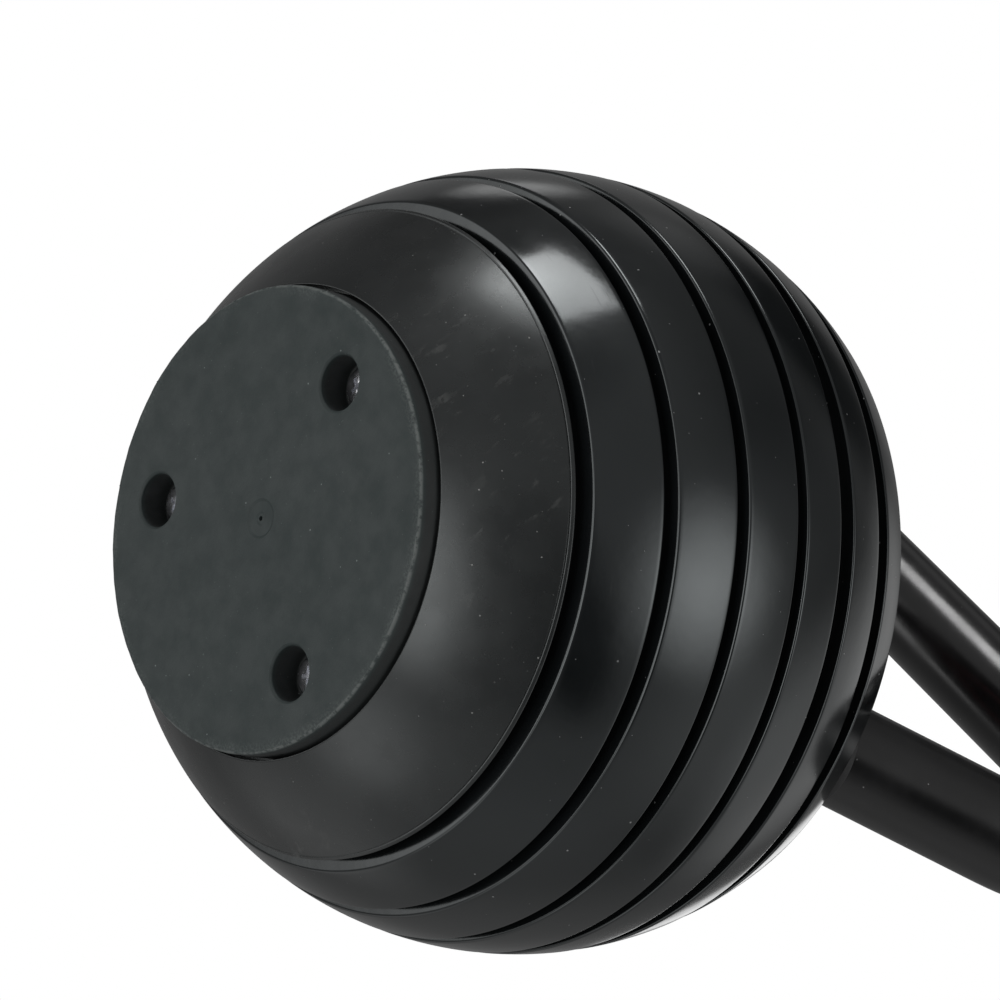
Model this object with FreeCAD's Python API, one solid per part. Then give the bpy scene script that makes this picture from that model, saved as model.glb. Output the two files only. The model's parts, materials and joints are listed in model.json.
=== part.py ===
"""Dial-select adjustable kettlebell: five lift-off weight plates on a base plate, under a bent-tube handle.

Millimetres, +Z up. The origin is the middle of the foot's resting face, and the handle lies along X.
The outer surface of every plate lies on one sphere, cut by flat gaps. A spindle under the dial passes
through keyed bores in the plates, and turning it puts one more pair of lobes under one more plate.
"""
import FreeCAD, Part
import math
import os

V = FreeCAD.Vector
UP = V(0, 0, 1)

# ---- driving dimensions -------------------------------------------------------------------------
body_radius = 105.0            # sphere that the plates' rims follow
body_centre_z = 90.6           # its centre above the floor
plate_count = 5
base_rim_top = 28.95           # top edge of the base plate's rim
rim_gap = 3.4                  # open gap above the base's rim
plate_pitch = 19.5             # one plate to the next
rim_heights = [13.7, 13.7, 16.1, 16.1, 16.1]   # plate 1, the top one, to plate 5
top_rim_height = 11.55         # height of the top housing's rim
edge_round = 0.9

shell_wall = 3.0
shell_floor = 2.5
flange_width = 9.0             # inward flange at the top of each shell, which carries the lid
flange_thickness = 2.5
lid_inset = 4.5                # the lid's edge stands back from the rims, inside the gap
lid_clearance = 0.4            # left between a lid and the shell above it
rib_count = 6
rib_thickness = 3.0

core_radius = 83.5
base_core_radius = 68.0
hub_radius = 30.0
web_height = 12.0              # thickness of the iron above each lobe pocket
pocket_radius = 13.4
peg_circle = 22.0
peg_radius = 3.0
peg_height = 3.0
peg_clearance = 0.3

foot_radius = 60.2
foot_proud = 5.45              # how far the foot stands below the base shell
foot_thickness = 12.0
foot_seat_radius = 61.0
foot_hole_circle = 42.6
foot_hole_radius = 7.1
foot_hole_depth = 9.0
foot_hole_start = -88.0        # degrees from +X to the first hole
foot_hole_count = 3
foot_mark_radius = 5.0
foot_mark_depth = 0.4

tube_radius = 14.4
tube_wall = 2.5
leg_lean = 38.7                # degrees from vertical, outwards
leg_foot_x = 66.6              # where a leg's centre line crosses leg_foot_z
leg_foot_z = 141.75
grip_z = 261.3
bend_radius = 42.3

dial_step = 20.0               # degrees between settings
lobe_half_angle = 15.0
lobe_clearance = 3.0           # degrees each side of a lobe in its slot
lobe_radius = 12.6
lobe_thickness = 3.0
lobe_drop = 0.5                # gap between a lobe and the web above it
slot_radius = 13.0
bore_radius = 8.6
sleeve_radius = 8.2
spindle_radius = 6.0
spindle_flat = 4.6             # half the width across the flats
neck_radius = 5.0
neck_flat = 4.0
ball_radius = 3.0
ball_gap = 0.05                # between the detent ball and the index disc's underside
dimple_depth = 0.8
screw_circle = 60.0
screw_radius = 2.0
screw_head_radius = 4.0
screw_count = 4
screw_bite = 6.0               # depth of a lid's screws in the iron

# ---- derived heights ----------------------------------------------------------------------------
first_plate_z = base_rim_top + rim_gap
top_unit_z = first_plate_z + plate_count * plate_pitch
top_rim_z = top_unit_z + top_rim_height
shell_underside = foot_proud
base_floor_top = foot_thickness + shell_floor
lobe_top_offset = plate_pitch - web_height - lobe_drop
core_top_z = top_unit_z + shell_floor
carrier_thickness = 5.0
top_core_thickness = 2.5
carrier_z = core_top_z + top_core_thickness
carrier_top = carrier_z + carrier_thickness
carrier_radius = 88.0
cover_rim_radius = 88.2
cover_crown_z = top_rim_z + 11.1
cover_wall = 2.8
shelf_radius = 42.0
bushing_flange = 2.0
bushing_flange_radius = 11.0
bushing_top = carrier_top + bushing_flange
collar_gap = 0.05
collar_thickness = 1.5
index_z = bushing_top + collar_gap + collar_thickness + collar_gap
index_thickness = 2.5
index_radius = 22.0
index_track = 16.0
dial_z = cover_crown_z + 0.7
dial_top = dial_z + 16.8
spindle_bottom = first_plate_z - plate_pitch + lobe_top_offset - lobe_thickness - 1.5
spindle_top = dial_z + 9.8


def polar(radius, degrees, z=0.0):
    """A point at a radius and angle about the vertical axis."""
    a = math.radians(degrees)
    return V(radius * math.cos(a), radius * math.sin(a), z)


def sphere_r(z, radius=body_radius):
    """Radius of a sphere about the body's centre at a height."""
    return math.sqrt(radius ** 2 - (z - body_centre_z) ** 2)


def cylinder(radius, z0, z1, x=0.0, y=0.0):
    return Part.makeCylinder(radius, z1 - z0, V(x, y, z0), UP)


def turned(points):
    """A solid of revolution about Z from an outline of (radius, height) points."""
    corners = [V(r, 0, z) for r, z in points]
    outline = Part.makePolygon(corners + corners[:1])
    return Part.Face(outline).revolve(V(0, 0, 0), UP, 360)


def belt(z0, z1, radius=body_radius):
    """A slice of a sphere about the body's centre, between two heights."""
    middle = (z0 + z1) / 2
    rim = Part.Arc(V(sphere_r(z0, radius), 0, z0), V(sphere_r(middle, radius), 0, middle),
                   V(sphere_r(z1, radius), 0, z1)).toShape()
    flat = Part.makePolygon([V(sphere_r(z1, radius), 0, z1), V(0, 0, z1), V(0, 0, z0),
                             V(sphere_r(z0, radius), 0, z0)])
    return Part.Face(Part.Wire([rim] + flat.Edges)).revolve(V(0, 0, 0), UP, 360)


def rounded_belt(z0, z1):
    """A slice of the body's sphere with both of its outer edges rounded."""
    solid = belt(z0, z1)
    edges = [e for e in solid.Edges if e.Closed and e.BoundBox.ZLength < 1e-6]
    return solid.makeFillet(edge_round, edges)


def sector(radius, z0, z1, start, sweep):
    """A pie slice of a cylinder, from an angle and through a sweep."""
    piece = Part.makeCylinder(radius, z1 - z0, V(0, 0, z0), UP, sweep)
    piece.rotate(V(0, 0, 0), UP, start)
    return piece


def double_d(radius, flat, z0, z1):
    """A round bar with two flats, facing +Y and -Y."""
    bar = cylinder(radius, z0, z1)
    slab = Part.makeBox(4 * radius, 2 * flat, z1 - z0, V(-2 * radius, -flat, z0))
    return bar.common(slab)


def around(make, count, start=0.0):
    """Copies of what make(angle) returns, evenly spaced about the axis."""
    return [make(start + i * 360.0 / count) for i in range(count)]


def cut_all(solid, tools):
    for tool in tools:
        solid = solid.cut(tool)
    return solid


def countersunk_screw(x, y, head_z, length, down=True):
    """A flat-head screw, its head's face at head_z and its shank pointing down or up."""
    sign = -1.0 if down else 1.0
    head = Part.makeCone(screw_head_radius, screw_radius, 2.2, V(x, y, head_z), V(0, 0, sign))
    shank = Part.makeCylinder(screw_radius, length, V(x, y, head_z), V(0, 0, sign))
    drive = [Part.makeBox(4.0, 0.8, 2.4, V(x - 2.0, y - 0.4, head_z - 1.2)),
             Part.makeBox(0.8, 4.0, 2.4, V(x - 0.4, y - 2.0, head_z - 1.2))]
    return cut_all(head.fuse(shank), drive)


def screw_seat(x, y, head_z, length, down=True):
    """The space that a countersunk screw takes, for cutting its hole."""
    sign = -1.0 if down else 1.0
    head = Part.makeCone(screw_head_radius, screw_radius, 2.2, V(x, y, head_z), V(0, 0, sign))
    return head.fuse(Part.makeCylinder(screw_radius, length, V(x, y, head_z), V(0, 0, sign)))


def screw_places():
    return [polar(screw_circle, 45.0 + i * 360.0 / screw_count) for i in range(screw_count)]


def peg_places():
    return [(0.0, peg_circle), (0.0, -peg_circle)]


# ---- weight plates ------------------------------------------------------------------------------
def keyed_bore(z0, z1, number):
    """Hole that passes the spindle, with slots that free a plate's lobes up to its own setting."""
    hole = cylinder(bore_radius, z0, z1)
    half = lobe_half_angle + lobe_clearance
    for turn in (0.0, 180.0):
        hole = hole.fuse(sector(slot_radius, z0, z1, turn - half, 2 * half + (number - 1) * dial_step))
    return hole


def plate_shell(z0, z1):
    """Moulded cup whose rim follows the sphere, with a flange at the top and ribs around the iron."""
    inner = body_radius - shell_wall
    opening = sphere_r(z1) - flange_width
    outer = rounded_belt(z0, z1)
    cavity = belt(z0 + shell_floor, z1 - flange_thickness, inner)
    shell = cut_all(outer, [cavity, cylinder(opening, z0 + shell_floor, z1 + 1),
                            cylinder(hub_radius, z0 - 1, z0 + shell_floor + 1)])
    rib_band = cavity.cut(cylinder(core_radius + 0.2, z0, z1 + 1))
    for i in range(rib_count):
        rib = Part.makeBox(body_radius, rib_thickness, z1 - z0, V(0, -rib_thickness / 2, z0))
        rib.rotate(V(0, 0, 0), UP, i * 360.0 / rib_count)
        shell = shell.fuse(rib.common(rib_band))
    return shell.removeSplitter()


def lid(z0, next_z):
    """Disc that closes a shell and fills the gap under the next shell, set back from the rims."""
    top = next_z - lid_clearance
    radius = min(sphere_r(z0), sphere_r(next_z)) - lid_inset
    disc = cylinder(radius, z0, top).cut(cylinder(hub_radius, z0 - 1, next_z))
    return cut_all(disc, [screw_seat(p.x, p.y, top, 2 * screw_bite) for p in screw_places()])


def lid_screws(z0, next_z):
    top = next_z - lid_clearance
    length = top - z0 + screw_bite
    return Part.makeCompound([countersunk_screw(p.x, p.y, top, length) for p in screw_places()])


def lid_screw_holes(z0, next_z):
    """Holes for a lid's screws in the iron below it."""
    top = next_z - lid_clearance
    return [screw_seat(p.x, p.y, top, top - z0 + screw_bite + 0.5) for p in screw_places()]


def with_pegs(core, hub_top):
    for x, y in peg_places():
        core = core.fuse(cylinder(peg_radius, hub_top - 1, hub_top + peg_height, x, y))
    return core


def plate_core(z0, number):
    """Cast-iron disc with a hub that stacks on its neighbours, a lobe pocket and a keyed bore."""
    z1 = z0 + rim_heights[number - 1]
    hub_top = z0 + plate_pitch
    core = cylinder(core_radius, z0 + shell_floor, z1).fuse(cylinder(hub_radius, z0, hub_top))
    core = with_pegs(core, hub_top)
    tools = [cylinder(pocket_radius, z0 - 1, hub_top - web_height), keyed_bore(z0, hub_top + 1, number)]
    for x, y in peg_places():
        tools.append(cylinder(peg_radius + peg_clearance, z0 - 1, z0 + peg_height + 0.4, x, y))
    return cut_all(core, tools + lid_screw_holes(z1, hub_top)).removeSplitter()


# ---- base plate and foot ------------------------------------------------------------------------
def foot_hole_places():
    return [polar(foot_hole_circle, foot_hole_start + i * 360.0 / foot_hole_count)
            for i in range(foot_hole_count)]


def foot_pad():
    """Rubber disc that the kettlebell stands on, with deep screw holes and a moulding mark."""
    pad = cylinder(foot_radius, 0, foot_thickness)
    rim = [e for e in pad.Edges if e.Closed and e.BoundBox.ZMax < 1e-6]
    pad = pad.makeFillet(0.8, rim)
    for p in foot_hole_places():
        pad = cut_all(pad, [cylinder(foot_hole_radius, -1, foot_hole_depth, p.x, p.y),
                            cylinder(2.7, 0, foot_thickness + 1, p.x, p.y)])
    return pad.cut(cylinder(foot_mark_radius, -1, foot_mark_depth))


def foot_screws():
    """Pan-head cross-recess screws that hold the foot to the base's iron."""
    screws = []
    for p in foot_hole_places():
        head = cylinder(5.2, foot_hole_depth - 3.0, foot_hole_depth, p.x, p.y)
        rim = [e for e in head.Edges if e.Closed and e.BoundBox.ZMax < foot_hole_depth - 2.9]
        screw = head.makeFillet(1.6, rim).fuse(cylinder(2.5, foot_hole_depth - 1, 24.0, p.x, p.y))
        low = foot_hole_depth - 4.0
        cross = [Part.makeBox(5.4, 1.0, 3.0, V(p.x - 2.7, p.y - 0.5, low)),
                 Part.makeBox(1.0, 5.4, 3.0, V(p.x - 0.5, p.y - 2.7, low))]
        screws.append(cut_all(screw, cross))
    return Part.makeCompound(screws)


def base_shell():
    """Bottom cup of the stack, with the seat that the foot sits in."""
    outer = rounded_belt(shell_underside, base_rim_top)
    inner = body_radius - shell_wall
    cavity = belt(base_floor_top, base_rim_top - flange_thickness, inner)
    opening = sphere_r(base_rim_top) - flange_width
    tools = [cavity, cylinder(opening, base_floor_top + 5, base_rim_top + 1),
             cylinder(foot_seat_radius, shell_underside - 1, foot_thickness)]
    tools += [cylinder(2.7, foot_thickness - 1, base_floor_top + 1, p.x, p.y) for p in foot_hole_places()]
    return cut_all(outer, tools)


def base_core():
    """Cast iron in the base, with the lowest lobe pocket and the tapped holes for the foot's screws."""
    number = plate_count + 1
    core = cylinder(base_core_radius, base_floor_top, base_rim_top)
    core = with_pegs(core.fuse(cylinder(hub_radius, base_floor_top, first_plate_z)), first_plate_z)
    tools = [cylinder(pocket_radius, base_floor_top - 1, first_plate_z - web_height),
             keyed_bore(base_floor_top, first_plate_z + 1, number)]
    tools += [cylinder(2.6, base_floor_top - 1, 25.0, p.x, p.y) for p in foot_hole_places()]
    return cut_all(core, tools + lid_screw_holes(base_rim_top, first_plate_z)).removeSplitter()


# ---- handle and top housing ---------------------------------------------------------------------
def leg_direction(side):
    lean = math.radians(leg_lean)
    return V(side * math.sin(lean), 0, math.cos(lean))


def leg_point(side, z):
    """Point on a leg's centre line at a height."""
    return V(side * (leg_foot_x + (z - leg_foot_z) * math.tan(math.radians(leg_lean))), 0, z)


def handle_path(z_start):
    """Centre line of the bent tube: leg, bend, straight grip, bend, leg."""
    lean = math.radians(leg_lean)
    bend_z = grip_z - bend_radius
    bend_x = leg_foot_x - (bend_radius - (bend_z - leg_foot_z) * math.sin(lean)) / math.cos(lean)
    half = (math.pi / 2 - lean) / 2

    def on_bend(side, a):
        return V(side * (bend_x + bend_radius * math.cos(a)), 0, bend_z + bend_radius * math.sin(a))

    edges = []
    right = [leg_point(1, z_start), on_bend(1, -lean), on_bend(1, half), on_bend(1, math.pi / 2)]
    left = [leg_point(-1, z_start), on_bend(-1, -lean), on_bend(-1, half), on_bend(-1, math.pi / 2)]
    edges.append(Part.LineSegment(right[0], right[1]).toShape())
    edges.append(Part.Arc(right[1], right[2], right[3]).toShape())
    edges.append(Part.LineSegment(right[3], left[3]).toShape())
    edges.append(Part.Arc(left[3], left[2], left[1]).toShape())
    edges.append(Part.LineSegment(left[1], left[0]).toShape())
    return Part.Wire(edges)


def swept(radius, z_start):
    """A round bar along the handle's centre line."""
    circle = Part.Circle(leg_point(1, z_start), leg_direction(1), radius).toShape()
    return handle_path(z_start).makePipeShell([Part.Wire([circle])], True, False)


def handle_tube():
    """Bent steel tube, its two ends cut flat where they are welded to the carrier plate."""
    outer = swept(tube_radius, carrier_top - 20)
    inner = swept(tube_radius - tube_wall, carrier_top - 25)
    below = Part.makeBox(400, 100, 60, V(-200, -50, carrier_top - 60))
    return outer.cut(inner).cut(below)


def carrier_plate():
    """Steel plate that joins the handle to the spindle's bushing and carries the load."""
    plate = cylinder(carrier_radius, carrier_z, carrier_top)
    ball = polar(index_track, 0)
    pin = polar(index_track, 180)
    tools = [cylinder(9.0, carrier_z - 1, carrier_top + 1),
             cylinder(4.5, carrier_z - 1, carrier_top + 1, ball.x, ball.y),
             cylinder(2.0, carrier_z - 1, carrier_top + 1, pin.x, pin.y)]
    tools += [cylinder(screw_radius, carrier_z - 1, carrier_top + 1, p.x, p.y) for p in screw_places()]
    return cut_all(plate, tools)


def top_core():
    """Cast-iron disc under the carrier, whose hub rests on the top plate's hub."""
    core = cylinder(core_radius, core_top_z, carrier_z).fuse(cylinder(hub_radius, top_unit_z, carrier_z))
    tools = [cylinder(9.0, top_unit_z - 1, carrier_z + 1)]
    hole_top = top_unit_z + peg_height + 0.4
    for x, y in peg_places():
        tools.append(cylinder(peg_radius + peg_clearance, top_unit_z - 1, hole_top, x, y))
    tools += [screw_seat(p.x, p.y, top_unit_z, 9.5, down=False) for p in shell_screw_places()]
    return cut_all(core, tools).removeSplitter()


def shell_screw_places():
    return [polar(screw_circle, i * 360.0 / screw_count) for i in range(screw_count)]


def top_shell():
    """Moulded cup at the top of the stack, fixed to the iron from below."""
    outer = rounded_belt(top_unit_z, top_rim_z)
    cavity = belt(core_top_z, top_rim_z + 2, body_radius - shell_wall)
    tools = [cavity, cylinder(hub_radius, top_unit_z - 1, core_top_z + 1)]
    tools += [screw_seat(p.x, p.y, top_unit_z, 9.0, down=False) for p in shell_screw_places()]
    return cut_all(outer, tools)


def top_shell_screws():
    places = shell_screw_places()
    return Part.makeCompound([countersunk_screw(p.x, p.y, top_unit_z, 4.8, down=False) for p in places])


def cover_dome(inset):
    """Domed solid between the rim and the dial's shelf, its surface lowered by an inset."""
    rim = V(cover_rim_radius, 0, top_rim_z + 0.6 - inset)
    middle = V((cover_rim_radius + shelf_radius) / 2, 0, cover_crown_z - 3.4 - inset)
    crown = V(shelf_radius, 0, cover_crown_z - inset)
    dome = Part.Arc(rim, middle, crown).toShape()
    rest = Part.makePolygon([crown, V(0, 0, crown.z), V(0, 0, carrier_top), V(rim.x, 0, carrier_top), rim])
    return Part.Face(Part.Wire([dome] + rest.Edges)).revolve(V(0, 0, 0), UP, 360)


def leg_bar(side, radius):
    """A bar along one leg, through the cover."""
    start = leg_point(side, carrier_top - 10)
    return Part.makeCylinder(radius, 50, start, leg_direction(side))


def top_cover():
    """Domed cover with screw posts, a shelf for the dial and a slanted hole for each leg."""
    outer = cover_dome(0.0)
    inner = cover_dome(cover_wall).common(cylinder(cover_rim_radius - cover_wall, carrier_top - 1, dial_z))
    cover = outer.cut(inner)
    for p in screw_places():
        post = cylinder(5.5, carrier_top, dial_z, p.x, p.y).common(outer)
        cover = cover.fuse(post)
    tools = [cylinder(12.0, carrier_top, dial_z + 1)]
    tools += [leg_bar(side, tube_radius + 1.6) for side in (1, -1)]
    for p in screw_places():
        tools.append(cylinder(4.4, cover_crown_z - 5.5, dial_z + 1, p.x, p.y))
        tools.append(cylinder(screw_radius + 0.2, carrier_top - 1, dial_z, p.x, p.y))
    return cut_all(cover, tools).removeSplitter()


def cover_screws():
    """Button-head screws with a hexagon socket, from the cover into the carrier."""
    screws = []
    seat = cover_crown_z - 5.5
    for p in screw_places():
        shank = cylinder(screw_radius, carrier_z, seat + 1, p.x, p.y)
        screw = cylinder(3.8, seat, seat + 2.2, p.x, p.y).fuse(shank)
        corners = [V(p.x, p.y, seat + 1.0) + polar(1.5, 60.0 * i) for i in range(6)]
        socket = Part.Face(Part.makePolygon(corners + corners[:1])).extrude(V(0, 0, 2.0))
        screws.append(screw.cut(socket))
    return Part.makeCompound(screws)


def leg_grommets(cover):
    """Rubber rings that close the slanted holes round the legs."""
    rings = []
    for side in (1, -1):
        middle = leg_point(side, cover_crown_z - 2.5)
        start = middle - leg_direction(side) * 7.0
        ring = Part.makeCylinder(tube_radius + 3.6, 14.0, start, leg_direction(side))
        ring = ring.cut(leg_bar(side, tube_radius)).cut(cover)
        above = cylinder(cover_rim_radius, carrier_top, dial_z + 20)
        pieces = sorted(ring.common(above).Solids, key=lambda s: s.Volume)
        rings.append(pieces[-1])
    return Part.makeCompound(rings)


def spindle_bushing():
    flange = cylinder(bushing_flange_radius, carrier_top, bushing_top)
    bush = cylinder(9.0, carrier_z, carrier_top).fuse(flange)
    return bush.cut(cylinder(spindle_radius + 0.06, carrier_z - 1, bushing_top + 1)).removeSplitter()


def detent_cage():
    """Brass sleeve that guides the detent ball under the index disc."""
    ball = polar(index_track, 0)
    return cylinder(4.5, carrier_z, bushing_top, ball.x, ball.y).cut(
        cylinder(3.1, carrier_z - 1, bushing_top + 1, ball.x, ball.y))


def detent_ball():
    """Detent ball as it stands between two settings, pushed down clear of the index disc."""
    ball = polar(index_track, 0)
    return Part.makeSphere(ball_radius, V(ball.x, ball.y, index_z - ball_gap - ball_radius))


def detent_spring():
    """Small coil that pushes the ball up into the index disc."""
    ball = polar(index_track, 0)
    wire_radius = 0.35
    height = index_z - ball_gap - 2 * ball_radius - carrier_z - 2 * wire_radius
    helix = Part.makeHelix(height / 3.0, height, 2.4)
    circle = Part.Circle(V(2.4, 0, 0), V(0, 1, 0), wire_radius).toShape()
    coil = Part.Wire(helix.Edges).makePipeShell([Part.Wire([circle])], True, True)
    coil.translate(V(ball.x, ball.y, carrier_z + wire_radius))
    return coil


def stop_pin():
    """Pin that ends the dial's travel in the index disc's curved slot."""
    pin = polar(index_track, 180)
    return cylinder(2.0, carrier_z, index_z + index_thickness, pin.x, pin.y)


def dial_pointer(cover):
    """Raised arrowhead on the cover that marks the setting."""
    tip = shelf_radius + 0.8
    corners = [V(0, -tip, cover_crown_z - 3), V(4.5, -tip - 8, cover_crown_z - 3),
               V(-4.5, -tip - 8, cover_crown_z - 3)]
    wedge = Part.Face(Part.makePolygon(corners + corners[:1])).extrude(V(0, 0, 4.4))
    return sorted(wedge.cut(cover).Solids, key=lambda s: s.BoundBox.ZMax)[-1]


# ---- dial and spindle ---------------------------------------------------------------------------
def spindle():
    """Steel bar with a flange below, flats for the lobes, a round journal and a necked top."""
    journal_z = carrier_z - 0.2
    neck_z = index_z - collar_gap
    bar = cylinder(sleeve_radius, spindle_bottom, spindle_bottom + 1.5)
    bar = bar.fuse(double_d(spindle_radius, spindle_flat, spindle_bottom, journal_z))
    bar = bar.fuse(cylinder(spindle_radius, journal_z, neck_z))
    bar = bar.fuse(double_d(neck_radius, neck_flat, neck_z, spindle_top))
    groove = cylinder(spindle_radius + 1, bushing_top + collar_gap, neck_z).cut(
        cylinder(neck_radius, bushing_top, neck_z))
    return bar.cut(groove).cut(cylinder(2.6, spindle_top - 12, spindle_top + 1)).removeSplitter()


def thrust_collar():
    """Split collar in the spindle's groove, which carries the load onto the bushing."""
    collar = cylinder(10.0, bushing_top + collar_gap, index_z - collar_gap).cut(
        cylinder(neck_radius, bushing_top, index_z))
    return collar.cut(Part.makeBox(12, 2.0, 4.0, V(0, -1.0, bushing_top)))


def lobe_top(number):
    """Height of the top of a lobe pair; number 1 is under the top plate."""
    return top_unit_z - number * plate_pitch + lobe_top_offset


def cam(number):
    """Sleeve with two opposite lobes that lift one plate."""
    z1 = lobe_top(number)
    z0 = z1 - lobe_thickness
    piece = cylinder(sleeve_radius, z0, z1)
    for turn in (0.0, 180.0):
        piece = piece.fuse(sector(lobe_radius, z0, z1, turn - lobe_half_angle, 2 * lobe_half_angle))
    return piece.cut(double_d(spindle_radius, spindle_flat, z0 - 1, z1 + 1)).removeSplitter()


def cam_spacers():
    """Tubes that keep the lobes one pitch apart, and the longer one under the bushing."""
    tubes = []
    for number in range(plate_count + 1, 0, -1):
        z0 = lobe_top(number)
        z1 = lobe_top(number - 1) - lobe_thickness if number > 1 else carrier_z - 0.2
        tube = cylinder(sleeve_radius, z0, z1)
        tubes.append(tube.cut(double_d(spindle_radius, spindle_flat, z0 - 1, z1 + 1)))
    return Part.makeCompound(tubes)


def index_disc():
    """Disc with one dimple for each setting, and a curved slot that ends the travel."""
    settings = plate_count + 2
    travel = (settings - 1) * dial_step
    z1 = index_z + index_thickness
    disc = cylinder(index_radius, index_z, z1).cut(double_d(neck_radius, neck_flat, index_z - 1, z1 + 1))
    for i in range(settings):
        p = polar(index_track, -i * dial_step)
        disc = disc.cut(Part.makeSphere(ball_radius, V(p.x, p.y, index_z + dimple_depth - ball_radius)))
    slot = sector(index_track + 2.2, index_z - 1, z1 + 1, 180 - travel, travel)
    slot = slot.cut(cylinder(index_track - 2.2, index_z - 2, z1 + 2))
    for end in (180 - travel, 180):
        p = polar(index_track, end)
        slot = slot.fuse(cylinder(2.2, index_z - 1, z1 + 1, p.x, p.y))
    return disc.cut(slot)


def dial_knob():
    """Moulded hand knob with finger scallops, hollow below, on the spindle's necked top."""
    body = turned([(0, dial_z), (31, dial_z), (31, dial_z + 4.4), (29.4, dial_z + 5.4),
                   (27.2, dial_top - 1.8), (25.6, dial_top), (0, dial_top)])
    hollow = cylinder(25.0, dial_z - 1, dial_top - 4.5).cut(cylinder(9.0, dial_z - 2, dial_top))
    body = body.cut(hollow).fuse(cylinder(9.0, index_z + index_thickness, dial_z + 4))
    tools = [double_d(neck_radius, neck_flat, index_z, spindle_top), cylinder(2.7, spindle_top - 1, dial_top),
             cylinder(6.0, spindle_top + 2.0, dial_top), cylinder(12.0, dial_top - 1.8, dial_top + 1)]
    for i in range(8):
        p = polar(34.0, 22.5 + i * 45.0)
        tools.append(cylinder(7.6, dial_z + 5.4, dial_top + 1, p.x, p.y))
    return cut_all(body, tools).removeSplitter()


def dial_ring():
    """Red scale ring round the knob's foot, sloped towards the reader."""
    return turned([(31, dial_z), (40.6, dial_z), (41, dial_z + 0.6), (41, dial_z + 1.6), (40.4, dial_z + 2.2),
                   (31.8, dial_z + 4.4), (31, dial_z + 4.4)])


def dial_screw():
    screw = cylinder(5.4, spindle_top + 2.0, spindle_top + 4.6).fuse(
        cylinder(2.5, spindle_top - 11, spindle_top + 3))
    return screw.cut(Part.makeBox(7.0, 1.2, 2.0, V(-3.5, -0.6, spindle_top + 3.2)))


def dial_cap():
    """Badge-free disc that hides the dial's screw."""
    return turned([(0, dial_top - 1.8), (11.8, dial_top - 1.8), (11.8, dial_top - 0.2),
                   (11.0, dial_top + 0.4), (0, dial_top + 0.8)])


def build():
    """Every sub-part, as a list of (node name, shape)."""
    cover = top_cover()
    pieces = [("foot_pad", foot_pad()), ("foot_screws", foot_screws()), ("base_shell", base_shell()),
              ("base_core", base_core()), ("base_lid", lid(base_rim_top, first_plate_z)),
              ("base_lid_screws", lid_screws(base_rim_top, first_plate_z))]
    for number in range(1, plate_count + 1):
        z0 = top_unit_z - number * plate_pitch
        z1 = z0 + rim_heights[number - 1]
        pieces += [("plate_%d_shell" % number, plate_shell(z0, z1)),
                   ("plate_%d_core" % number, plate_core(z0, number)),
                   ("plate_%d_lid" % number, lid(z1, z0 + plate_pitch)),
                   ("plate_%d_lid_screws" % number, lid_screws(z1, z0 + plate_pitch))]
    pieces += [("top_shell", top_shell()), ("top_core", top_core()), ("top_shell_screws", top_shell_screws()),
               ("carrier_plate", carrier_plate()), ("handle_tube", handle_tube()), ("top_cover", cover),
               ("cover_screws", cover_screws()), ("leg_grommets", leg_grommets(cover)),
               ("dial_pointer", dial_pointer(cover)), ("spindle_bushing", spindle_bushing()),
               ("detent_cage", detent_cage()), ("detent_ball", detent_ball()),
               ("detent_spring", detent_spring()), ("stop_pin", stop_pin())]
    pieces += [("cam_%d" % number, cam(number)) for number in range(1, plate_count + 2)]
    pieces += [("spindle", spindle()), ("cam_spacers", cam_spacers()), ("thrust_collar", thrust_collar()),
               ("index_disc", index_disc()), ("dial_knob", dial_knob()), ("dial_ring", dial_ring()),
               ("dial_screw", dial_screw()), ("dial_cap", dial_cap())]
    return pieces


os.makedirs("parts", exist_ok=True)
for name, shape in build():
    shape.exportStep(os.path.join("parts", name + ".step"))
    print("%-20s solids %2d volume %9.1f valid %s" % (name, len(shape.Solids), shape.Volume, shape.isValid()))
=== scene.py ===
"""The kettlebell's visual model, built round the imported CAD. Metres, +Z up, the handle along X."""
import bmesh
import bpy
import json
import math
import random
from mathutils import Matrix, Vector

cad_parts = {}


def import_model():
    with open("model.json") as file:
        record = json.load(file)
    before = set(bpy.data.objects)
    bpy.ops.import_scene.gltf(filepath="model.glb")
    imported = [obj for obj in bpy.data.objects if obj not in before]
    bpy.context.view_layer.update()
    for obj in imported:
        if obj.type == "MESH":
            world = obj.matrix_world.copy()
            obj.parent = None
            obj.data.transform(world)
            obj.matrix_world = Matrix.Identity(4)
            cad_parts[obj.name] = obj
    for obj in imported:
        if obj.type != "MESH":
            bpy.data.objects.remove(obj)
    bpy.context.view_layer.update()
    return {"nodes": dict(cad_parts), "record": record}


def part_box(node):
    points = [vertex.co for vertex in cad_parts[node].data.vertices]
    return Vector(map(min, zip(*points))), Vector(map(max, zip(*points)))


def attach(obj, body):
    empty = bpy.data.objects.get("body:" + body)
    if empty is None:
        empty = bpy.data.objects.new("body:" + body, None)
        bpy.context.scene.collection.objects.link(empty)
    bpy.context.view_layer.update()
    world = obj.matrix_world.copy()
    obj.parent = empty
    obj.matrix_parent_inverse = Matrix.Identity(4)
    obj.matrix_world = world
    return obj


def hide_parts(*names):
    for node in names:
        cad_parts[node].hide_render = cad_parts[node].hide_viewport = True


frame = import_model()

MM = 0.001

# ---- sizes, in millimetres, worked out from the frame --------------------------------------------


def low(node):
    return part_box(node)[0] / MM


def high(node):
    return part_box(node)[1] / MM


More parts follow.
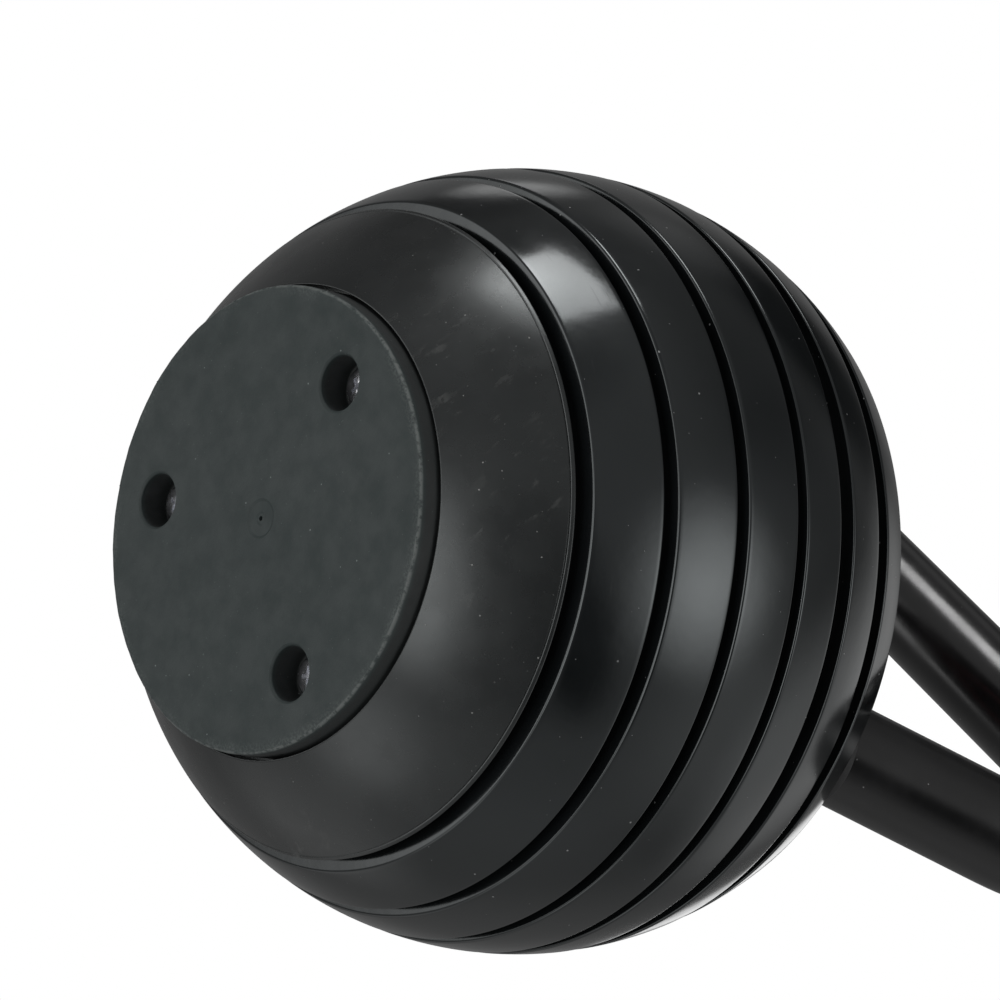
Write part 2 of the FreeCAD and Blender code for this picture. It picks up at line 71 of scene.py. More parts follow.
PLATES = [5, 4, 3, 2, 1]
BODY_RADIUS = (high("plate_2_shell").x - low("plate_2_shell").x) / 2
BODY_CENTRE_Z = 90.6
EDGE_ROUND = 0.9
SHELL_WALL = 3.0
SHELL_FLOOR = 2.5
FLANGE_WIDTH = 9.0
FLANGE_THICKNESS = 2.5
HUB_RADIUS = 30.0
FOOT_RADIUS = high("foot_pad").x
FOOT_TOP = high("foot_pad").z
FOOT_SEAT_RADIUS = 61.0
FOOT_HOLE_RADIUS = 7.1
FOOT_HOLE_DEPTH = 9.0
FOOT_HOLE_CIRCLE = 42.6
FOOT_HOLE_START = -88.0
BASE_BOTTOM = low("base_shell").z
TUBE_RADIUS = (high("handle_tube").y - low("handle_tube").y) / 2
GRIP_Z = high("handle_tube").z - TUBE_RADIUS
LEG_LEAN = math.radians(38.7)
LEG_FOOT_X = 66.6
LEG_FOOT_Z = 141.75
BEND_RADIUS = 42.3
STEPS = 288


# ---- outlines and meshes -------------------------------------------------------------------------
def sphere_r(z, inset=0.0):
    """Radius of the body's sphere at a height, less an inset."""
    return math.sqrt((BODY_RADIUS - inset) ** 2 - (z - BODY_CENTRE_Z) ** 2)


def rim_points(z0, z1, count=14, inset=0.0):
    """Points up the sphere between two heights, ends included."""
    heights = [z0 + (z1 - z0) * i / count for i in range(count + 1)]
    return [(sphere_r(z, inset), z) for z in heights]


def rounded(outline, steps=4):
    """A closed (r, z, radius) outline with each corner that has a radius turned into an arc."""
    points = []
    count = len(outline)
    for i, corner in enumerate(outline):
        here = Vector(corner[:2])
        radius = corner[2] if len(corner) > 2 else 0.0
        if radius <= 0.0:
            points.append(here)
            continue
        before = (Vector(outline[i - 1][:2]) - here)
        after = (Vector(outline[(i + 1) % count][:2]) - here)
        half = before.angle(after) / 2
        reach = min(radius / math.tan(half), before.length * 0.49, after.length * 0.49)
        fit = reach * math.tan(half)
        start = here + before.normalized() * reach
        end = here + after.normalized() * reach
        centre = here + (before.normalized() + after.normalized()).normalized() * (fit / math.sin(half))
        for k in range(steps + 1):
            direction = (start - centre).lerp(end - centre, k / steps).normalized()
            points.append(centre + direction * fit)
    return [tuple(p) for p in points]


def finish_mesh(name, bm, sharp=35.0):
    """Turns a bmesh in millimetres into an object in metres with smooth shading up to an angle."""
    bmesh.ops.remove_doubles(bm, verts=bm.verts, dist=1e-4)
    bmesh.ops.recalc_face_normals(bm, faces=bm.faces)
    mesh = bpy.data.meshes.new(name)
    bm.to_mesh(mesh)
    bm.free()
    mesh.transform(Matrix.Scale(MM, 4))
    for polygon in mesh.polygons:
        polygon.use_smooth = True
    mesh.set_sharp_from_angle(angle=math.radians(sharp))
    piece = bpy.data.objects.new(name, mesh)
    bpy.context.scene.collection.objects.link(piece)
    return piece


def grid_mesh(name, rows, closed_rows=True, sharp=35.0):
    """A skin through rows of points; each row is a ring, and the last row joins the first if closed."""
    bm = bmesh.new()
    rings = [[bm.verts.new(p) for p in row] for row in rows]
    pairs = list(zip(rings, rings[1:] + rings[:1])) if closed_rows else list(zip(rings, rings[1:]))
    for a, b in pairs:
        for i in range(len(a)):
            j = (i + 1) % len(a)
            corners = [a[i], a[j], b[j], b[i]]
            bm.faces.new(corners)
    if not closed_rows:
        bm.faces.new(list(reversed(rings[0])))
        bm.faces.new(rings[-1])
    return finish_mesh(name, bm, sharp)


def lathe(name, outline, steps=STEPS, centre=(0.0, 0.0), sharp=35.0, shape=None):
    """A solid of revolution about a vertical axis; shape(angle, r, z) may change the radius."""
    bm = bmesh.new()
    rings = []
    for r, z in outline:
        if r < 1e-6:
            rings.append([bm.verts.new((centre[0], centre[1], z))])
            continue
        ring = []
        for i in range(steps):
            a = 2 * math.pi * i / steps
            radius = shape(a, r, z) if shape else r
            ring.append(bm.verts.new((centre[0] + radius * math.cos(a), centre[1] + radius * math.sin(a), z)))
        rings.append(ring)
    for a, b in zip(rings, rings[1:] + rings[:1]):
        for i in range(steps):
            j = (i + 1) % steps
            corners = [a[i % len(a)], a[j % len(a)], b[j % len(b)], b[i % len(b)]]
            unique = list(dict.fromkeys(corners))
            if len(unique) > 2:
                bm.faces.new(unique)
    return finish_mesh(name, bm, sharp)


def polar(radius, degrees, z=0.0):
    a = math.radians(degrees)
    return Vector((radius * math.cos(a), radius * math.sin(a), z))


def bake(piece):
    """Applies a piece's modifiers to its mesh."""
    depsgraph = bpy.context.evaluated_depsgraph_get()
    mesh = bpy.data.meshes.new_from_object(piece.evaluated_get(depsgraph))
    piece.modifiers.clear()
    piece.data = mesh


def cut(piece, cutters):
    """Subtracts closed cutter objects from a piece and removes them."""
    for cutter in cutters:
        modifier = piece.modifiers.new("cut", "BOOLEAN")
        modifier.object = cutter
        modifier.solver = "EXACT"
    bake(piece)
    for cutter in cutters:
        bpy.data.objects.remove(cutter)
    piece.data.set_sharp_from_angle(angle=math.radians(35))
    piece.modifiers.new("flat", "WEIGHTED_NORMAL").keep_sharp = True
    bake(piece)


# ---- materials -----------------------------------------------------------------------------------
class Surface:
    """One procedural material, with short calls for the nodes it needs."""

    def __init__(self, name, colour, roughness, **settings):
        self.material = bpy.data.materials.new(name)
        self.material.use_nodes = True
        self.tree = self.material.node_tree
        self.shader = self.tree.nodes["Principled BSDF"]
        self.shader.inputs["Base Color"].default_value = (*colour, 1.0)
        self.shader.inputs["Roughness"].default_value = roughness
        for socket, value in settings.items():
            self.shader.inputs[socket.replace("_", " ")].default_value = value
        self.place = self.node("ShaderNodeTexCoord").outputs["Object"]

    def node(self, kind, **settings):
        made = self.tree.nodes.new(kind)
        for key, value in settings.items():
            setattr(made, key, value)
        return made

    def link(self, source, target):
        self.tree.links.new(source, target)

    def noise(self, scale, detail=4.0, rough=0.55, stretch=None, distortion=0.0):
        made = self.node("ShaderNodeTexNoise")
        made.inputs["Scale"].default_value = scale
        made.inputs["Detail"].default_value = detail
        made.inputs["Roughness"].default_value = rough
        made.inputs["Distortion"].default_value = distortion
        place = self.place
        if stretch:
            mapping = self.node("ShaderNodeMapping")
            mapping.inputs["Scale"].default_value = stretch
            self.link(self.place, mapping.inputs["Vector"])
            place = mapping.outputs["Vector"]
        self.link(place, made.inputs["Vector"])
        return made.outputs["Fac"]

    def specks(self, scale, size, share):
        """A mask of round dots: one cell in a share of them holds a dot of a size in cell widths."""
        cells = self.node("ShaderNodeTexVoronoi")
        cells.inputs["Scale"].default_value = scale
        self.link(self.place, cells.inputs["Vector"])
        dot = self.curve(cells.outputs["Distance"], size, size * 0.6, 0.0, 1.0)
        split = self.node("ShaderNodeSeparateColor")
        self.link(cells.outputs["Color"], split.inputs["Color"])
        chosen = self.curve(split.outputs["Red"], share, share - 0.02, 0.0, 1.0)
        return self.maths("MULTIPLY", dot, chosen)

    def curve(self, value, start, end, low_out=0.0, high_out=1.0):
        """A smooth step from low_out at start to high_out at end, which may run downwards."""
        made = self.node("ShaderNodeMapRange", interpolation_type="SMOOTHSTEP")
        if start > end:
            start, end, low_out, high_out = end, start, high_out, low_out
        made.inputs["From Min"].default_value = start
        made.inputs["From Max"].default_value = end
        made.inputs["To Min"].default_value = low_out
        made.inputs["To Max"].default_value = high_out
        self.link(value, made.inputs["Value"])
        return made.outputs["Result"]

    def maths(self, operation, first, second):
        made = self.node("ShaderNodeMath", operation=operation)
        for i, value in enumerate((first, second)):
            if isinstance(value, (int, float)):
                made.inputs[i].default_value = value
            else:
                self.link(value, made.inputs[i])
        return made.outputs["Value"]

    def mix(self, factor, first, second):
        """Colour mix; each side is a colour tuple or another node's output."""
        made = self.node("ShaderNodeMix", data_type="RGBA")
        self.link(factor, made.inputs["Factor"])
        for key, value in (("A", first), ("B", second)):
            socket = [s for s in made.inputs if s.name == key and s.type == "RGBA"][0]
            if isinstance(value, tuple):
                socket.default_value = (*value, 1.0)
            else:
                self.link(value, socket)
        return [s for s in made.outputs if s.type == "RGBA"][0]

    def colour(self, output):
        self.link(output, self.shader.inputs["Base Color"])

    def roughness(self, output):
        self.link(output, self.shader.inputs["Roughness"])

    def bump(self, heights):
        """Stacks bumps; each is (height output, depth in metres)."""
        normal = None
        for height, depth in heights:
            made = self.node("ShaderNodeBump")
            made.inputs["Strength"].default_value = 1.0
            made.inputs["Distance"].default_value = depth
            self.link(height, made.inputs["Height"])
            if normal:
                self.link(normal, made.inputs["Normal"])
            normal = made.outputs["Normal"]
        self.link(normal, self.shader.inputs["Normal"])

    def split_place(self):
        made = self.node("ShaderNodeSeparateXYZ")
        self.link(self.place, made.inputs["Vector"])
        return made.outputs["X"], made.outputs["Y"], made.outputs["Z"]

    def axis_distance(self):
        """Distance from the vertical axis, in metres."""
        x, y, z = self.split_place()
        squared = self.maths("ADD", self.maths("MULTIPLY", x, x), self.maths("MULTIPLY", y, y))
        return self.maths("POWER", squared, 0.5)


def gloss_plastic():
    """High-gloss black moulding: faint flow waves, fine dust and a few hairline scratches."""
    s = Surface("gloss_black", (0.0035, 0.0039, 0.0042), 0.14, Specular_Tint=(0.93, 0.99, 1.0, 1.0))
    cloud = s.noise(22.0, 3.0)
    dust = s.specks(170.0, 0.055, 0.35)
    fine_dust = s.specks(420.0, 0.07, 0.22)
    dirt = s.maths("MAXIMUM", dust, s.maths("MULTIPLY", fine_dust, 0.6))
    scratch = s.curve(s.noise(60.0, 2.0, 0.5, stretch=(1.0, 1.0, 26.0)), 0.70, 0.74)
    base = s.mix(s.curve(cloud, 0.35, 0.7), (0.0028, 0.0034, 0.0036), (0.0049, 0.0057, 0.0062))
    s.colour(s.mix(dirt, base, (0.16, 0.16, 0.16)))
    rough = s.curve(s.noise(48.0, 5.0, 0.6), 0.3, 0.75, 0.11, 0.19)
    rough = s.maths("ADD", rough, s.maths("MULTIPLY", scratch, 0.08))
    s.roughness(s.maths("ADD", rough, s.maths("MULTIPLY", dirt, 0.5)))
    s.bump([(s.noise(55.0, 1.5, 0.4), 0.00012), (s.noise(210.0, 2.5, 0.55), 0.000022),
            (s.noise(520.0, 3.0, 0.6), 0.000005), (dirt, 0.00003)])
    return s.material


def satin_plastic():
    """Satin black moulding with a fine grain and pale scuffs."""
    s = Surface("satin_black", (0.006, 0.0065, 0.0068), 0.27, Specular_Tint=(0.95, 1.0, 1.0, 1.0))
    patch = s.curve(s.noise(13.0, 5.0, 0.62, distortion=0.6), 0.54, 0.70)
    hair = s.curve(s.noise(300.0, 4.0, 0.7, stretch=(1.0, 0.25, 0.5)), 0.56, 0.68)
    scuff = s.maths("MULTIPLY", patch, hair)
    coarse_dust = s.specks(260.0, 0.07, 0.4)
    fine_dust = s.maths("MULTIPLY", s.specks(700.0, 0.09, 0.3), 0.5)
    dust = s.maths("MAXIMUM", coarse_dust, fine_dust)
    base = s.mix(s.curve(s.noise(30.0, 4.0), 0.35, 0.7), (0.0048, 0.0053, 0.0055), (0.0074, 0.0081, 0.0083))
    worn = s.mix(s.maths("MULTIPLY", scuff, 0.55), base, (0.05, 0.05, 0.048))
    s.colour(s.mix(dust, worn, (0.13, 0.13, 0.125)))
    rough = s.curve(s.noise(85.0, 5.0, 0.6), 0.3, 0.7, 0.23, 0.31)
    s.roughness(s.maths("ADD", rough, s.maths("MULTIPLY", scuff, 0.15)))
    s.bump([(s.noise(1500.0, 3.0, 0.6), 0.000006), (s.noise(70.0, 2.0), 0.00006), (dust, 0.00003)])
    return s.material


def foot_rubber():
    """Matte grey-green rubber: cloudy bloom, grain, specks, a worn pale edge, and painted shade on the sides
    and hole walls.
    """
    s = Surface("foot_rubber", (0.018, 0.023, 0.023), 0.62, Specular_IOR_Level=0.35)
    height = s.split_place()[2]
    cloud = s.curve(s.noise(26.0, 6.0, 0.65, distortion=0.4), 0.32, 0.72)
    base = s.mix(cloud, (0.0100, 0.0160, 0.0158), (0.0150, 0.0210, 0.0208))
    # painted shade: the colour is darkened for everything more than about 2 mm above the face, which covers
    # the side wall and the hole walls
    base = s.mix(s.curve(height, 0.9 * MM, 2.2 * MM), base, (0.0095, 0.0115, 0.0115))
    edge = s.curve(s.axis_distance(), (FOOT_RADIUS - 1.1) * MM, (FOOT_RADIUS - 0.5) * MM)
    band = s.curve(s.axis_distance(), (FOOT_RADIUS - 4.0) * MM, (FOOT_RADIUS - 0.8) * MM)
    low_edge = s.curve(height, 1.0 * MM, 0.3 * MM)
    crumbs = s.curve(s.noise(1300.0, 4.0, 0.7), 0.44, 0.60)
    patchy = s.curve(s.noise(45.0, 3.0, 0.6), 0.38, 0.60)
    line = s.maths("MULTIPLY", edge, s.curve(s.noise(500.0, 3.0, 0.7), 0.36, 0.56))
    rub = s.maths("MULTIPLY", s.maths("MULTIPLY", band, crumbs), s.maths("MULTIPLY", patchy, 0.45))
    wear = s.maths("MULTIPLY", s.maths("MAXIMUM", line, rub), low_edge)
    coarse_dust = s.specks(240.0, 0.07, 0.35)
    fine_dust = s.maths("MULTIPLY", s.specks(560.0, 0.1, 0.4), 0.35)
    dust = s.maths("MAXIMUM", coarse_dust, fine_dust)
    worn = s.mix(s.maths("MULTIPLY", wear, 0.45), base, (0.13, 0.14, 0.135))
    s.colour(s.mix(dust, worn, (0.10, 0.11, 0.11)))
    s.roughness(s.curve(s.noise(120.0, 4.0), 0.3, 0.7, 0.55, 0.72))
    s.bump([(s.noise(1100.0, 4.0, 0.65), 0.000022), (s.noise(160.0, 3.0), 0.00005), (crumbs, 0.00001)])
    return s.material


def lid_plastic():
    """Matte black lid moulding with a fine grain."""
    s = Surface("lid_black", (0.006, 0.006, 0.0062), 0.5)
    s.colour(s.mix(s.curve(s.noise(40.0, 5.0), 0.35, 0.7), (0.0045, 0.0045, 0.0048), (0.009, 0.009, 0.0092)))
    s.roughness(s.curve(s.noise(150.0, 4.0), 0.3, 0.7, 0.42, 0.6))
    s.bump([(s.noise(1400.0, 3.0), 0.000012)])
    return s.material


def handle_paint():
    """Black powder coat, smooth and fairly glossy, with a faint orange peel."""
    s = Surface("handle_black", (0.003, 0.003, 0.0033), 0.22)
    dust = s.specks(240.0, 0.06, 0.3)
    base = s.mix(s.curve(s.noise(35.0, 4.0), 0.35, 0.7), (0.0030, 0.0030, 0.0032), (0.0050, 0.0050, 0.0053))
    s.colour(s.mix(dust, base, (0.12, 0.12, 0.12)))
    s.roughness(s.curve(s.noise(70.0, 5.0, 0.6), 0.3, 0.72, 0.18, 0.26))
    s.bump([(s.noise(620.0, 2.5, 0.5), 0.000012), (s.noise(45.0, 2.0), 0.00008)])
    return s.material


def cast_iron():
    """Dark painted casting with pits and a rough skin."""
    s = Surface("cast_iron_paint", (0.03, 0.03, 0.031), 0.55, Metallic=0.2)
    pits = s.curve(s.noise(420.0, 5.0, 0.7), 0.35, 0.7)
    s.colour(s.mix(pits, (0.02, 0.02, 0.021), (0.05, 0.05, 0.052)))
    s.roughness(s.curve(s.noise(200.0, 4.0), 0.3, 0.7, 0.45, 0.68))
    s.bump([(pits, 0.00012), (s.noise(1500.0, 3.0), 0.00003)])
    return s.material


def turned_steel(name, colour, rough):
    """Metal with fine turning marks, in a colour and a roughness."""
    s = Surface(name, colour, rough, Metallic=1.0)
    rings = s.noise(260.0, 3.0, 0.6, stretch=(1.0, 1.0, 14.0))
    darker = tuple(c * 0.72 for c in colour)
    s.colour(s.mix(s.curve(rings, 0.3, 0.7), darker, colour))
    s.roughness(s.curve(s.noise(180.0, 4.0), 0.3, 0.7, rough * 0.8, rough * 1.35))
    s.bump([(rings, 0.00001)])
    return s.material


def grommet_rubber():
    """Matte black rubber of the leg collars."""
    s = Surface("grommet_rubber", (0.012, 0.012, 0.0125), 0.6, Specular_IOR_Level=0.35)
    s.colour(s.mix(s.curve(s.noise(60.0, 5.0), 0.35, 0.7), (0.009, 0.009, 0.0095), (0.018, 0.018, 0.0185)))
    s.roughness(s.curve(s.noise(150.0, 4.0), 0.3, 0.7, 0.5, 0.7))
    s.bump([(s.noise(1200.0, 3.0), 0.00002)])
    return s.material


def knob_plastic():
    """Satin black moulding of the knob, with a little dust."""
    s = Surface("knob_black", (0.008, 0.008, 0.0085), 0.3)
    dust = s.specks(300.0, 0.06, 0.3)
    base = s.mix(s.curve(s.noise(50.0, 4.0), 0.35, 0.7), (0.0065, 0.0065, 0.007), (0.011, 0.011, 0.0115))
    s.colour(s.mix(dust, base, (0.12, 0.12, 0.12)))
    s.roughness(s.curve(s.noise(120.0, 5.0), 0.3, 0.7, 0.24, 0.38))
    s.bump([(s.noise(1600.0, 3.0), 0.000008)])
    return s.material


def red_plastic():
    """Red moulding of the scale ring and the pointer."""
    s = Surface("red_plastic", (0.42, 0.012, 0.012), 0.3)
    dust = s.specks(260.0, 0.06, 0.25)
    base = s.mix(s.curve(s.noise(45.0, 4.0), 0.35, 0.7), (0.36, 0.009, 0.01), (0.46, 0.014, 0.014))
    s.colour(s.mix(dust, base, (0.5, 0.3, 0.3)))
    s.roughness(s.curve(s.noise(120.0, 5.0), 0.3, 0.7, 0.24, 0.38))
    s.bump([(s.noise(1400.0, 3.0), 0.000008)])
    return s.material


def white_ink():
    """Off-white paint of the numbers."""
    s = Surface("numeral_white", (0.75, 0.75, 0.74), 0.5)
    s.colour(s.mix(s.curve(s.noise(900.0, 4.0), 0.3, 0.7), (0.66, 0.66, 0.65), (0.8, 0.8, 0.79)))
    s.roughness(s.curve(s.noise(600.0, 3.0), 0.3, 0.7, 0.45, 0.6))
    s.bump([(s.noise(1500.0, 3.0), 0.000008)])
    return s.material


GLOSS = gloss_plastic()
SATIN = satin_plastic()
RUBBER = foot_rubber()
LID = lid_plastic()
PAINT = handle_paint()
IRON = cast_iron()
STEEL = turned_steel("bright_steel", (0.56, 0.56, 0.57), 0.25)
CAM_STEEL = turned_steel("cam_steel", (0.40, 0.40, 0.41), 0.35)
ZINC = turned_steel("zinc_plate", (0.70, 0.71, 0.74), 0.22)
BLACK_STEEL = turned_steel("black_oxide", (0.05, 0.05, 0.052), 0.32)
BRONZE = turned_steel("bronze", (0.60, 0.40, 0.19), 0.35)
GROMMET = grommet_rubber()
KNOB = knob_plastic()
RED = red_plastic()
INK = white_ink()


def place(piece, body, slot, material, *nodes):
    """Gives a piece its material and makes it ride on a body in place of its CAD nodes; the slot is not used.
    """
    piece.data.materials.clear()
    piece.data.materials.append(material)
    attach(piece, body)
    if nodes:
        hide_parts(*nodes)
    return piece


# ---- foot ----------------------------------------------------------------------------------------
def foot_hole_places():
    return [polar(FOOT_HOLE_CIRCLE, FOOT_HOLE_START + 120.0 * i) for i in range(3)]


def flash(angle, r, z):
    """Radius of the foot with the slightly uneven trim of its moulded edge."""
    if r < FOOT_RADIUS - 1.0 or z > 2.0:
        return r
    wave = math.sin(7 * angle + 1.0) + math.sin(17 * angle + 0.4) + 0.8 * math.sin(41 * angle)
    wave += 0.6 * math.sin(83 * angle)
    return r - 0.05 * (3.4 + wave) * (1.0 - z / 2.0)


def foot():
    """Rubber foot with rounded hole mouths, a moulding gate, and flash nubs on its edge."""
    gate = [(0, 1.2), (0.5, 1.2, 0.1), (0.62, 0.10, 0.15), (1.3, 0.15, 0.3), (1.8, 0.36, 0.2),
            (4.5, 0.36, 0.5), (5.2, 0.0, 0.4)]
    outline = rounded([(0, FOOT_TOP)] + gate + [(FOOT_RADIUS, 0, 0.9), (FOOT_RADIUS, FOOT_TOP, 0.3)], 5)
    pad = lathe("foot", outline, shape=flash)
    bm = bmesh.new()
    bm.from_mesh(pad.data)
    chance = random.Random(7)
    for i in range(18):
        size = chance.uniform(0.2, 0.45)
        p = polar(FOOT_RADIUS - size * 0.7, chance.uniform(0, 360), chance.uniform(0.5, 1.4))
        nub = bmesh.ops.create_icosphere(bm, subdivisions=2, radius=size * MM)
        bmesh.ops.translate(bm, verts=nub["verts"], vec=p * MM)
    bm.to_mesh(pad.data)
    bm.free()
    cutters = []
    for i, p in enumerate(foot_hole_places()):
        hole = rounded([(0, -1), (FOOT_HOLE_RADIUS + 0.9, -1), (FOOT_HOLE_RADIUS + 0.9, -0.2),
                        (FOOT_HOLE_RADIUS, 0.45, 0.6), (FOOT_HOLE_RADIUS - 0.1, FOOT_HOLE_DEPTH, 0.6),
                        (2.7, FOOT_HOLE_DEPTH, 0.1), (2.7, FOOT_TOP + 1), (0, FOOT_TOP + 1)], 5)
        cutters.append(lathe("hole_%d" % i, hole, 72, (p.x, p.y)))
    cut(pad, cutters)
    return place(pad, "base", "foot_rubber", RUBBER, "foot_pad")


def foot_screw(index, p):
    """Pan-head screw with a cross recess, its head down in the foot's hole."""
    top = FOOT_HOLE_DEPTH
    outline = rounded([(0, top - 3.0), (5.2, top - 2.2, 1.5), (5.2, top, 0.2), (2.5, top, 0.2),
                       (2.5, 20.0, 0.3), (0, 20.0)], 6)
    screw = lathe("foot_screw_%d" % index, outline, 96, (p.x, p.y))
    slots = []
    for turn in (20.0 + 31.0 * index, 110.0 + 31.0 * index):
        bm = bmesh.new()
        made = bmesh.ops.create_cube(bm, size=1.0)
        shape = (Matrix.Translation((p.x, p.y, top - 2.9)) @ Matrix.Rotation(math.radians(turn), 4, "Z")
                 @ Matrix.Diagonal((5.0, 1.1, 2.6, 1.0)))
        bmesh.ops.transform(bm, matrix=shape, verts=made["verts"])
        slots.append(finish_mesh("slot_%d" % turn, bm))
    cut(screw, slots)
    return place(screw, "base", "zinc_screw", ZINC, "foot_screws")


# ---- shells and lids -----------------------------------------------------------------------------
def rim_outline(z0, z1, groove=False):
    """Outside of a rim from its bottom edge to its top edge, with rounded corners."""
    corner = 1.3
    points = [(sphere_r(z0), z0, EDGE_ROUND)]
    points += rim_points(z0 + corner, z1 - corner)
    if groove:
        at = z1 - corner
        points.pop()
        points += [(sphere_r(at - 0.25), at - 0.25, 0.08), (sphere_r(at - 0.12) - 0.35, at - 0.05, 0.05),
                   (sphere_r(at) - 0.35, at + 0.1, 0.05), (sphere_r(at + 0.2), at + 0.2, 0.08)]
    points.append((sphere_r(z1), z1, EDGE_ROUND))
    return points


def plate_shell(number):
    node = "plate_%d_shell" % number
    z0 = low(node).z
    z1 = high(node).z
    opening = sphere_r(z1) - FLANGE_WIDTH
    inner = rim_points(z1 - FLANGE_THICKNESS, z0 + SHELL_FLOOR, 6, SHELL_WALL)
    outline = rim_outline(z0, z1)
    outline += [(opening, z1, 0.3), (opening, z1 - FLANGE_THICKNESS, 0.3)]
    outline += inner
    outline += [(HUB_RADIUS, z0 + SHELL_FLOOR), (HUB_RADIUS, z0, 0.3)]
    shell = lathe("plate_%d_rim" % number, rounded(outline))
    return place(shell, "plate_%d" % number, "gloss_black_plastic", GLOSS, node)


def base_shell():
    """Satin base cover: its shoulder runs down close to the foot, and a fine line is near its top edge."""
    z0 = BASE_BOTTOM
    z1 = high("base_shell").z
    opening = sphere_r(z1) - FLANGE_WIDTH
    outline = [(0, FOOT_TOP), (FOOT_SEAT_RADIUS, FOOT_TOP), (FOOT_SEAT_RADIUS, z0, 0.2)]
    outline += rim_outline(z0, z1, groove=True)
    outline += [(opening, z1, 0.3), (opening, z1 - FLANGE_THICKNESS, 0.3)]
    outline += rim_points(z1 - FLANGE_THICKNESS, FOOT_TOP + SHELL_FLOOR, 6, SHELL_WALL)
    outline += [(0, FOOT_TOP + SHELL_FLOOR)]
    shell = lathe("base_cover", rounded(outline))
    holes = [lathe("hole_%d" % i, [(0, 5), (2.7, 5), (2.7, 20), (0, 20)], 48, (p.x, p.y))
             for i, p in enumerate(foot_hole_places())]
    cut(shell, holes)
    return place(shell, "base", "satin_plastic", SATIN, "base_shell")


def lid(name, node, body):
    """Lid disc whose edge is the dark wall at the back of a gap."""
    z0 = low(node).z
    z1 = high(node).z
    radius = high(node).x
    outline = rounded([(HUB_RADIUS, z0), (radius, z0, 0.3), (radius, z1, 0.6), (HUB_RADIUS, z1, 0.3)])
    return place(lathe(name, outline), body, "lid_plastic", LID, node)


# ---- handle --------------------------------------------------------------------------------------
def leg_point(side, z):
    return Vector((side * (LEG_FOOT_X + (z - LEG_FOOT_Z) * math.tan(LEG_LEAN)), 0.0, z))


def leg_direction(side):
    return Vector((side * math.sin(LEG_LEAN), 0.0, math.cos(LEG_LEAN)))


def handle_line():
    """Points along the tube's centre line, from the right leg's foot over the grip to the left leg's foot."""
    bend_z = GRIP_Z - BEND_RADIUS
    bend_x = LEG_FOOT_X - (BEND_RADIUS - (bend_z - LEG_FOOT_Z) * math.sin(LEG_LEAN)) / math.cos(LEG_LEAN)
    foot_z = low("handle_tube").z
    right = [leg_point(1, foot_z).lerp(Vector((bend_x + BEND_RADIUS * math.cos(LEG_LEAN), 0.0,
                                                bend_z - BEND_RADIUS * math.sin(LEG_LEAN))), i / 10)
             for i in range(10)]
    for i in range(33):
        a = -LEG_LEAN + (math.pi / 2 + LEG_LEAN) * i / 32
        right.append(Vector((bend_x + BEND_RADIUS * math.cos(a), 0.0, bend_z + BEND_RADIUS * math.sin(a))))
    left = [Vector((-p.x, 0.0, p.z)) for p in reversed(right)]
    grip = [right[-1].lerp(left[0], i / 24) for i in range(1, 24)]
    return right + grip + left


def handle():
    """Bent tube, skinned along its centre line, its ends cut level on the carrier plate."""
    line = handle_line()
    rows = []
    steps = 96
    foot_z = line[0].z
    for i, p in enumerate(line):
        ahead = (line[min(i + 1, len(line) - 1)] - line[max(i - 1, 0)]).normalized()
        side = Vector((0.0, 1.0, 0.0))
        out = ahead.cross(side)
        row = []
        for k in range(steps):
            a = 2 * math.pi * k / steps
            q = p + (side * math.cos(a) + out * math.sin(a)) * TUBE_RADIUS
            if i in (0, len(line) - 1):
                q -= ahead * ((q.z - foot_z) / ahead.z)
            row.append(q)
        rows.append(row)
    tube = grid_mesh("handle", rows, closed_rows=False, sharp=50.0)
    return place(tube, "handle", "handle_paint", PAINT, "handle_tube")


# ---- top housing ---------------------------------------------------------------------------------
COVER_RIM = high("top_cover").x
COVER_CROWN = high("top_cover").z
TOP_RIM = high("top_shell").z
SHELF = 42.0
CARRIER_TOP = low("top_cover").z
COVER_WALL = 2.8
SCREW_CIRCLE = 60.0
COVER_SCREWS = 4
SCREW_SEAT = COVER_CROWN - 5.5


def dome_circle():
    """Centre height and radius of the cover's arc, through its rim, its middle and its crown."""
    x1, y1 = COVER_RIM, TOP_RIM + 0.6
    x2, y2 = (COVER_RIM + SHELF) / 2, COVER_CROWN - 3.4
    x3, y3 = SHELF, COVER_CROWN
    a = x1 - x2
    b = y1 - y2
    c = x1 - x3
    d = y1 - y3
    e = ((x1 ** 2 - x2 ** 2) + (y1 ** 2 - y2 ** 2)) / 2
    f = ((x1 ** 2 - x3 ** 2) + (y1 ** 2 - y3 ** 2)) / 2
    det = a * d - b * c
    cx = (d * e - b * f) / det
    cy = (a * f - c * e) / det
    return cx, cy, math.hypot(x1 - cx, y1 - cy)


DOME = dome_circle()


def dome_z(r):
    """Height of the cover's outer surface at a radius."""
    cx, cy, radius = DOME
    if r <= SHELF:
        return COVER_CROWN
    side = 1.0 if TOP_RIM > cy else -1.0
    return cy + side * math.sqrt(max(radius ** 2 - (r - cx) ** 2, 0.0))


def top_rim():
    """Rim and floor of the housing under the cover."""
    z0 = low("top_shell").z
    z1 = TOP_RIM
    inner = rim_points(z1, z0 + SHELL_FLOOR, 6, SHELL_WALL)
    outline = rim_outline(z0, z1)
    outline += [(inner[0][0], z1, 0.4)] + inner[1:]
    outline += [(HUB_RADIUS, z0 + SHELL_FLOOR), (HUB_RADIUS, z0, 0.3)]
    shell = lathe("top_rim", rounded(outline))
    return place(shell, "handle", "gloss_black_plastic", GLOSS, "top_shell")


